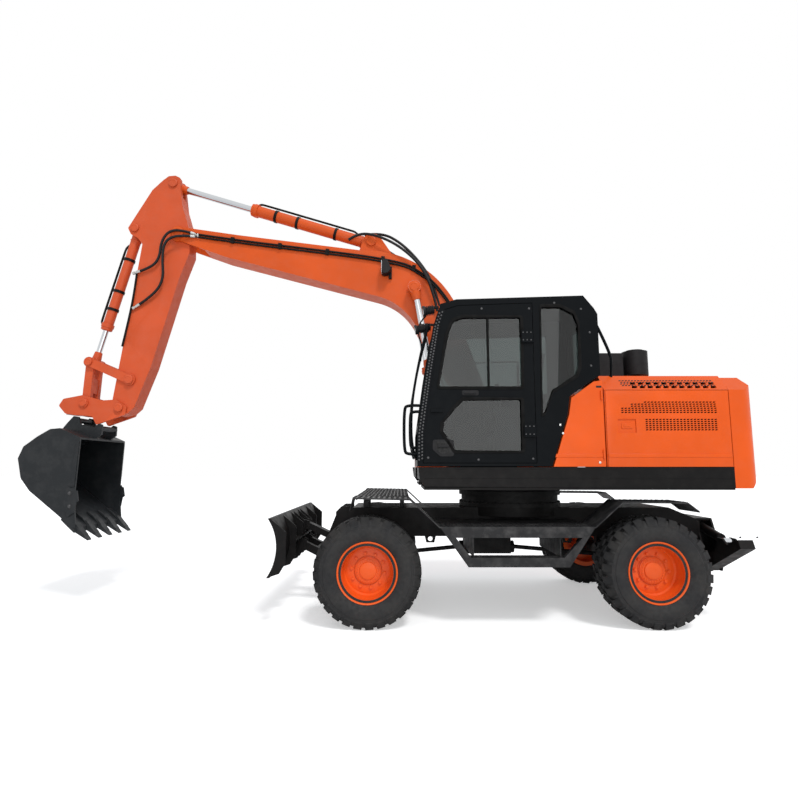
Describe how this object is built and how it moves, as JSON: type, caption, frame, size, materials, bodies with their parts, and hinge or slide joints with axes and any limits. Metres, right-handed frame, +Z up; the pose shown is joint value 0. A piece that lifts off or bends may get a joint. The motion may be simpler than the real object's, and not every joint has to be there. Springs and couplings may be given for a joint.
{
  "type": "wheeled excavator",
  "caption": "Wheeled excavator with slewing upper body, hinged cab and engine doors, cranked boom, arm, quick coupler, toothed bucket, levelling blade and rear outriggers.",
  "frame": {"origin": "ground, under the middle of the bounding box", "axes": "+X forward (boom end), +Y to the machine's left, +Z up"},
  "size_m": [7.982, 2.5, 5.3114],
  "materials": {
    "orange_paint": "semi-gloss",
    "arm_paint": "semi-gloss",
    "black_paint": "satin",
    "chrome": "polished",
    "tyre": "matt",
    "glass": "tinted",
    "cast_steel": "rough",
    "trim_plastic": "matt",
    "steel": "bare"
  },
  "bodies": {
    "chassis": {"chassis_frame": "black_paint", "slewing_ring": "cast_steel", "side_steps": "black_paint", "axles": "cast_steel", "drive_line": "cast_steel"},
    "left_knuckle": {"left_knuckle": "cast_steel"},
    "right_knuckle": {"right_knuckle": "cast_steel"},
    "tie_rod": {"tie_rod": "steel"},
    "front_left_wheel": {"front_left_rim": "orange_paint", "front_left_tyre": "tyre"},
    "front_right_wheel": {"front_right_rim": "orange_paint", "front_right_tyre": "tyre"},
    "rear_left_wheel": {"rear_left_rim": "orange_paint", "rear_left_tyre": "tyre"},
    "rear_right_wheel": {"rear_right_rim": "orange_paint", "rear_right_tyre": "tyre"},
    "blade_arms": {"blade_arms": "black_paint"},
    "dozer_blade": {"dozer_blade": "black_paint"},
    "blade_link": {"blade_link": "black_paint"},
    "blade_barrels": {"blade_cylinder_barrels": "black_paint"},
    "blade_rods": {"blade_cylinder_rods": "chrome"},
    "left_outrigger": {"left_outrigger": "black_paint"},
    "left_outrigger_barrel": {"left_outrigger_barrel": "black_paint"},
    "left_outrigger_rod": {"left_outrigger_rod": "chrome"},
    "right_outrigger": {"right_outrigger": "black_paint"},
    "right_outrigger_barrel": {"right_outrigger_barrel": "black_paint"},
    "right_outrigger_rod": {"right_outrigger_rod": "chrome"},
    "upper": {"upper_frame": "black_paint", "counterweight": "orange_paint", "cab_shell": "black_paint", "cab_glass": "glass", "operator_seat": "trim_plastic", "engine_hood": "orange_paint", "tank_housing": "orange_paint", "engine_block": "cast_steel", "air_precleaner": "black_paint", "hand_rails": "black_paint", "work_lamps": "trim_plastic"},
    "cab_door": {"cab_door": "black_paint", "cab_door_glass": "glass"},
    "hood_lid": {"hood_lid": "orange_paint"},
    "left_engine_door": {"left_engine_door": "orange_paint"},
    "right_engine_door": {"right_engine_door": "orange_paint"},
    "left_service_door": {"left_service_door": "orange_paint"},
    "boom": {"boom": "orange_paint", "boom_lines": "black_paint"},
    "boom_barrels": {"boom_cylinder_barrels": "orange_paint"},
    "boom_rods": {"boom_cylinder_rods": "chrome"},
    "arm": {"arm": "arm_paint"},
    "arm_barrel": {"arm_cylinder_barrel": "orange_paint"},
    "arm_rod": {"arm_cylinder_rod": "chrome"},
    "bucket_barrel": {"bucket_cylinder_barrel": "orange_paint"},
    "bucket_rod": {"bucket_cylinder_rod": "chrome"},
    "rocker": {"bucket_rocker": "arm_paint"},
    "bucket_link": {"bucket_link": "arm_paint"},
    "bucket": {"quick_coupler": "arm_paint", "bucket": "black_paint"}
  },
  "joints": [
    {"name": "swing", "type": "hinge", "parent": "chassis", "child": "upper", "pos_m": [-1.681, 0, 1.295], "axis": [0, 0, 1], "continuous": true},
    {"name": "steering", "type": "hinge", "parent": "chassis", "child": "left_knuckle", "pos_m": [-0.036, 0.8, 0.5375], "axis": [0, 0, 1], "range_deg": [-28, 28]},
    {"name": "steering_right", "type": "hinge", "parent": "chassis", "child": "right_knuckle", "pos_m": [-0.036, -0.8, 0.5375], "axis": [0, 0, 1], "range_deg": [-28.5, 28.5]},
    {"name": "steering_tie_rod", "type": "slide", "parent": "chassis", "child": "tie_rod", "axis": [0, 1, 0], "range_m": [-0.10463, 0.10463]},
    {"name": "front_left_wheel_spin", "type": "hinge", "parent": "left_knuckle", "child": "front_left_wheel", "pos_m": [-0.036, 1.045, 0.5375], "axis": [0, 1, 0], "continuous": true},
    {"name": "front_right_wheel_spin", "type": "hinge", "parent": "right_knuckle", "child": "front_right_wheel", "pos_m": [-0.036, -1.045, 0.5375], "axis": [0, 1, 0], "continuous": true},
    {"name": "rear_left_wheel_spin", "type": "hinge", "parent": "chassis", "child": "rear_left_wheel", "pos_m": [-2.886, 1.045, 0.5375], "axis": [0, 1, 0], "continuous": true},
    {"name": "rear_right_wheel_spin", "type": "hinge", "parent": "chassis", "child": "rear_right_wheel", "pos_m": [-2.886, -1.045, 0.5375], "axis": [0, 1, 0], "continuous": true},
    {"name": "blade_lift", "type": "hinge", "parent": "chassis", "child": "blade_arms", "pos_m": [0.314, 0, 0.465], "axis": [0, -1, 0], "range_deg": [-62, 4]},
    {"name": "blade_level", "type": "hinge", "parent": "blade_arms", "child": "dozer_blade", "pos_m": [0.767, 0, 0.675], "axis": [0, -1, 0], "range_deg": [-4, 62]},
    {"name": "blade_link_pivot", "type": "hinge", "parent": "chassis", "child": "blade_link", "pos_m": [0.314, 0, 0.675], "axis": [0, -1, 0], "range_deg": [-62, 4]},
    {"name": "blade_barrels_pivot", "type": "hinge", "parent": "chassis", "child": "blade_barrels", "pos_m": [0.329, 0, 1.06], "axis": [0, -1, 0], "range_deg": [-1.68, 0.14]},
    {"name": "blade_rods_slide", "type": "slide", "parent": "blade_barrels", "child": "blade_rods", "axis": [0.3752, 0, -0.9269], "range_m": [-0.01897, 0.26506]},
    {"name": "left_outrigger_swing", "type": "hinge", "parent": "chassis", "child": "left_outrigger", "pos_m": [-3.841, 0.42, 0.5], "axis": [1, 0, 0], "range_deg": [-67, 0]},
    {"name": "left_outrigger_barrel_pivot", "type": "hinge", "parent": "chassis", "child": "left_outrigger_barrel", "pos_m": [-3.841, 0.215, 0.905], "axis": [1, 0, 0], "range_deg": [-32.85, 0.65]},
    {"name": "left_outrigger_rod_slide", "type": "slide", "parent": "left_outrigger_barrel", "child": "left_outrigger_rod", "axis": [0, 0.9722, -0.2341], "range_m": [-0.002, 0.31266]},
    {"name": "right_outrigger_swing", "type": "hinge", "parent": "chassis", "child": "right_outrigger", "pos_m": [-3.841, -0.42, 0.5], "axis": [-1, 0, 0], "range_deg": [-67, 0]},
    {"name": "right_outrigger_barrel_pivot", "type": "hinge", "parent": "chassis", "child": "right_outrigger_barrel", "pos_m": [-3.841, -0.215, 0.905], "axis": [-1, 0, 0], "range_deg": [-32.85, 0.65]},
    {"name": "right_outrigger_rod_slide", "type": "slide", "parent": "right_outrigger_barrel", "child": "right_outrigger_rod", "axis": [0, -0.9722, -0.2341], "range_m": [-0.002, 0.31266]},
    {"name": "cab_door_hinge", "type": "hinge", "parent": "upper", "child": "cab_door", "pos_m": [-1.723, 1.214, 1.9], "axis": [0, 0, 1], "range_deg": [0, 170]},
    {"name": "left_service_door_hinge", "type": "hinge", "parent": "upper", "child": "left_service_door", "pos_m": [-2.411, 1.208, 1.65], "axis": [0, 0, -1], "range_deg": [-95, 0]},
    {"name": "left_engine_door_hinge", "type": "hinge", "parent": "upper", "child": "left_engine_door", "pos_m": [-3.689, 1.208, 1.65], "axis": [0, 0, -1], "range_deg": [-95, 0]},
    {"name": "right_engine_door_hinge", "type": "hinge", "parent": "upper", "child": "right_engine_door", "pos_m": [-3.689, -1.208, 1.65], "axis": [0, 0, 1], "range_deg": [-95, 0]},
    {"name": "hood_lid_hinge", "type": "hinge", "parent": "upper", "child": "hood_lid", "pos_m": [-3.611, 0, 2.55], "axis": [0, 1, 0], "range_deg": [-70, 0]},
    {"name": "boom_lift", "type": "hinge", "parent": "upper", "child": "boom", "pos_m": [-1.511, 0, 1.85], "axis": [0, -1, 0], "range_deg": [-58, 22]},
    {"name": "boom_barrels_pivot", "type": "hinge", "parent": "upper", "child": "boom_barrels", "pos_m": [-0.991, 0, 1.4], "axis": [0, -1, 0], "range_deg": [-55.14, 21.59]},
    {"name": "boom_rods_slide", "type": "slide", "parent": "boom_barrels", "child": "boom_rods", "axis": [0.1889, 0, 0.982], "range_m": [-0.64323, 0.24523]},
    {"name": "arm_reach", "type": "hinge", "parent": "boom", "child": "arm", "pos_m": [2.464, 0, 4.51], "axis": [0, 1, 0], "range_deg": [-82, 29]},
    {"name": "arm_barrel_pivot", "type": "hinge", "parent": "boom", "child": "arm_barrel", "pos_m": [0.006, 0, 4.42], "axis": [0, 1, 0], "range_deg": [-0.095, 0.257]},
    {"name": "arm_rod_slide", "type": "slide", "parent": "arm_barrel", "child": "arm_rod", "axis": [0.9559, 0, 0.2937], "range_m": [-0.8717, 0.30958]},
    {"name": "bucket_curl", "type": "hinge", "parent": "arm", "child": "bucket", "pos_m": [3.067, 0, 2.285], "axis": [0, -1, 0], "range_deg": [-110, 14]},
    {"name": "rocker_pivot", "type": "hinge", "parent": "arm", "child": "rocker", "pos_m": [2.968, 0, 2.635], "axis": [0, -1, 0], "range_deg": [-74.7, 10.79]},
    {"name": "bucket_link_pivot", "type": "hinge", "parent": "rocker", "child": "bucket_link", "pos_m": [3.479, 0, 2.855], "axis": [0, -1, 0], "range_deg": [-4.89, 33.86]},
    {"name": "bucket_barrel_pivot", "type": "hinge", "parent": "arm", "child": "bucket_barrel", "pos_m": [3.029, 0, 4.6], "axis": [0, -1, 0], "range_deg": [-6.31, 0.91]},
    {"name": "bucket_rod_slide", "type": "slide", "parent": "bucket_barrel", "child": "bucket_rod", "axis": [0.2497, 0, -0.9683], "range_m": [-0.08443, 0.64965]}
  ],
  "couplings": [
    {"joint": "steering_right", "follows": "steering", "ratio": 1},
    {"joint": "steering_tie_rod", "follows": "steering", "m_per_rad": -0.21},
    {"joint": "blade_level", "follows": "blade_lift", "ratio": -1},
    {"joint": "blade_link_pivot", "follows": "blade_lift", "ratio": 1},
    {"joint": "blade_barrels_pivot", "follows": "blade_lift", "ratio": 0.026539},
    {"joint": "blade_rods_slide", "follows": "blade_lift", "m_per_rad": -0.2431},
    {"joint": "left_outrigger_barrel_pivot", "follows": "left_outrigger_swing", "ratio": 0.48069},
    {"joint": "left_outrigger_rod_slide", "follows": "left_outrigger_swing", "m_per_rad": -0.26566},
    {"joint": "right_outrigger_barrel_pivot", "follows": "right_outrigger_swing", "ratio": 0.48069},
    {"joint": "right_outrigger_rod_slide", "follows": "right_outrigger_swing", "m_per_rad": -0.26566},
    {"joint": "boom_barrels_pivot", "follows": "boom_lift", "ratio": 0.93206},
    {"joint": "boom_rods_slide", "follows": "boom_lift", "m_per_rad": 0.63345},
    {"joint": "arm_barrel_pivot", "follows": "arm_reach", "ratio": -0.00306},
    {"joint": "arm_rod_slide", "follows": "arm_reach", "m_per_rad": 0.60768},
    {"joint": "rocker_pivot", "follows": "bucket_curl", "ratio": 0.66573},
    {"joint": "bucket_link_pivot", "follows": "bucket_curl", "ratio": -0.30174},
    {"joint": "bucket_barrel_pivot", "follows": "bucket_curl", "ratio": 0.056247},
    {"joint": "bucket_rod_slide", "follows": "bucket_curl", "m_per_rad": -0.33734}
  ]
}
